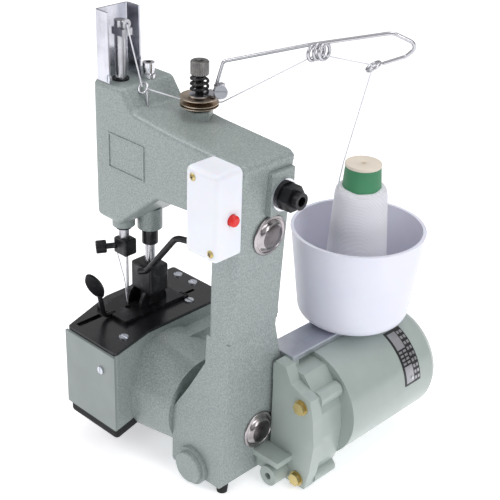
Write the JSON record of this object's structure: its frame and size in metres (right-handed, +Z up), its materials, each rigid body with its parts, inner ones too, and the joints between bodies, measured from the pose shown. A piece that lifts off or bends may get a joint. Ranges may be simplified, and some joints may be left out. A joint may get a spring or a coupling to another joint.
{
  "type": "bag closer sewing machine",
  "caption": "Portable bag-closing chain-stitch machine: cast column and arm, looper box, side motor, thread cone in a cup, bent wire thread guide.",
  "frame": {"origin": "centre of the outer box, on the floor under the feet", "axes": "+Z up, +X from the sewing head towards the column, +Y from the operator's side towards the motor"},
  "size_m": [0.206, 0.2249, 0.3447],
  "materials": {
    "hammer_paint": "grey-green hammertone paint",
    "chrome": "bright chrome",
    "black_oxide": "black oxide steel",
    "smooth_paint": "smooth grey-green paint",
    "zinc": "zinc plated",
    "white_box": "smooth white plastic",
    "brass": "yellow passivated",
    "red_button": "glossy red plastic",
    "black_plate": "black japanned, slightly glossy",
    "rubber": "matt black rubber",
    "steel": "ground steel",
    "lamination": "steel laminations",
    "cast": "raw casting",
    "belt": "black toothed belt",
    "nickel": "nickel, a little warm",
    "milky_cup": "milky translucent plastic",
    "green_plastic": "green plastic",
    "cream_plastic": "cream plastic",
    "thread": "white polyester thread"
  },
  "bodies": {
    "frame": {"main_casting": "hammer_paint", "hole_plugs": "chrome", "handle_socket": "black_oxide", "handle_washer": "chrome", "base_cap": "hammer_paint", "bar_bushings": "black_oxide", "presser_sleeve": "black_oxide", "presser_adjuster": "chrome", "arm_cover": "smooth_paint", "cover_screws": "zinc", "oil_box": "white_box", "oil_box_screws": "brass", "needle_plate": "black_plate", "plate_screws": "zinc", "looper_housing": "hammer_paint", "looper_front_cover": "smooth_paint", "bottom_pan": "rubber", "presser_spring": "steel", "pivot_pins": "hammer_paint", "drive_belt": "belt", "bar_guard": "chrome", "slotted_screws": "zinc", "tension_post": "black_oxide", "tension_discs": "nickel", "tension_spring": "black_oxide", "wire_bracket": "steel", "guide_wire": "steel", "thread_eyelet": "steel", "motor_bracket": "smooth_paint", "belt_case": "smooth_paint", "case_bolts": "brass", "motor_shell": "smooth_paint", "motor_end_cap": "smooth_paint", "stator": "lamination", "motor_bearings": "steel", "cup_bracket": "zinc", "thread_cup": "milky_cup", "cone_sleeve": "green_plastic", "cone_cap": "cream_plastic", "thread_package": "thread", "rubber_feet": "rubber", "supply_thread": "thread", "takeup_thread": "thread"},
    "motor_rotor": {"rotor": "lamination", "motor_pulley": "steel"},
    "crankshaft": {"main_shaft": "steel", "drive_pulley": "cast"},
    "needle_rocker": {"needle_lever": "lamination"},
    "rod": {"connecting_rod": "steel"},
    "needle_bar_group": {"needle_bar": "steel", "needle_clamp": "black_oxide", "needle": "steel"},
    "clamp_screw_body": {"clamp_screw": "black_oxide"},
    "looper_body": {"looper": "steel"},
    "feed_body": {"feed_dog": "steel"},
    "presser": {"presser_bar": "steel", "presser_foot": "black_oxide"},
    "lifter": {"lifter_lever": "black_oxide"},
    "tension_adjuster": {"tension_knob": "steel"},
    "button": {"oil_button": "red_button"}
  },
  "joints": [
    {"name": "motor_spin", "type": "hinge", "parent": "frame", "child": "motor_rotor", "pos_m": [0.059, 0.05295, 0.054], "axis": [0, 1, 0], "continuous": true},
    {"name": "main_shaft_spin", "type": "hinge", "parent": "frame", "child": "crankshaft", "pos_m": [0.034, -0.01705, 0.044], "axis": [0, 1, 0], "continuous": true},
    {"name": "needle_rocker_swing", "type": "hinge", "parent": "frame", "child": "needle_rocker", "pos_m": [0.011, -0.05305, 0.244], "axis": [0, 1, 0], "range_deg": [-19.98, 0]},
    {"name": "needle_bar_slide", "type": "slide", "parent": "frame", "child": "needle_bar_group", "axis": [0, 0, 1], "range_m": [-0.031, 0], "deforming": ["takeup_thread"]},
    {"name": "rod_swing", "type": "hinge", "parent": "needle_rocker", "child": "rod", "pos_m": [0.03661, -0.04705, 0.23949], "axis": [0, 1, 0], "range_deg": [0, 19.98]},
    {"name": "looper_swing", "type": "hinge", "parent": "frame", "child": "looper_body", "pos_m": [-0.041, -0.05305, 0.056], "axis": [1, 0, 0], "range_deg": [-11.99, 0]},
    {"name": "feed_slide", "type": "slide", "parent": "frame", "child": "feed_body", "axis": [0, 1, 0], "range_m": [0, 0.0036]},
    {"name": "presser_lift", "type": "slide", "parent": "frame", "child": "presser", "axis": [0, 0, 1], "range_m": [0, 0.008], "stiffness_N_per_m": 400, "springref_m": -0.012, "deforming": ["presser_spring"]},
    {"name": "lifter_swing", "type": "hinge", "parent": "frame", "child": "lifter", "pos_m": [0.0195, -0.04905, 0.18], "axis": [0, 1, 0], "range_deg": [0, 5.36]},
    {"name": "clamp_screw_turn", "type": "hinge", "parent": "needle_bar_group", "child": "clamp_screw_body", "pos_m": [-0.079, -0.06505, 0.1575], "axis": [-0.5658, -0.823, -0.0514], "range_deg": [0, 720]},
    {"name": "tension_turn", "type": "hinge", "parent": "frame", "child": "tension_adjuster", "pos_m": [-0.021, -0.03805, 0.304], "axis": [0, 0, 1], "range_deg": [-360, 720]},
    {"name": "oil_button_press", "type": "slide", "parent": "frame", "child": "button", "axis": [-1, 0, 0], "range_m": [0, 0.003], "stiffness_N_per_m": 250, "springref_m": -0.001}
  ],
  "couplings": [
    {"joint": "main_shaft_spin", "follows": "motor_spin", "ratio": 0.44444},
    {"joint": "needle_bar_slide", "follows": "needle_rocker_swing", "m_per_rad": 0.088903},
    {"joint": "rod_swing", "follows": "needle_rocker_swing", "ratio": -1},
    {"joint": "looper_swing", "follows": "needle_rocker_swing", "ratio": 0.6},
    {"joint": "feed_slide", "follows": "needle_rocker_swing", "m_per_rad": -0.010037},
    {"joint": "lifter_swing", "follows": "presser_lift", "rad_per_m": 11.696}
  ]
}
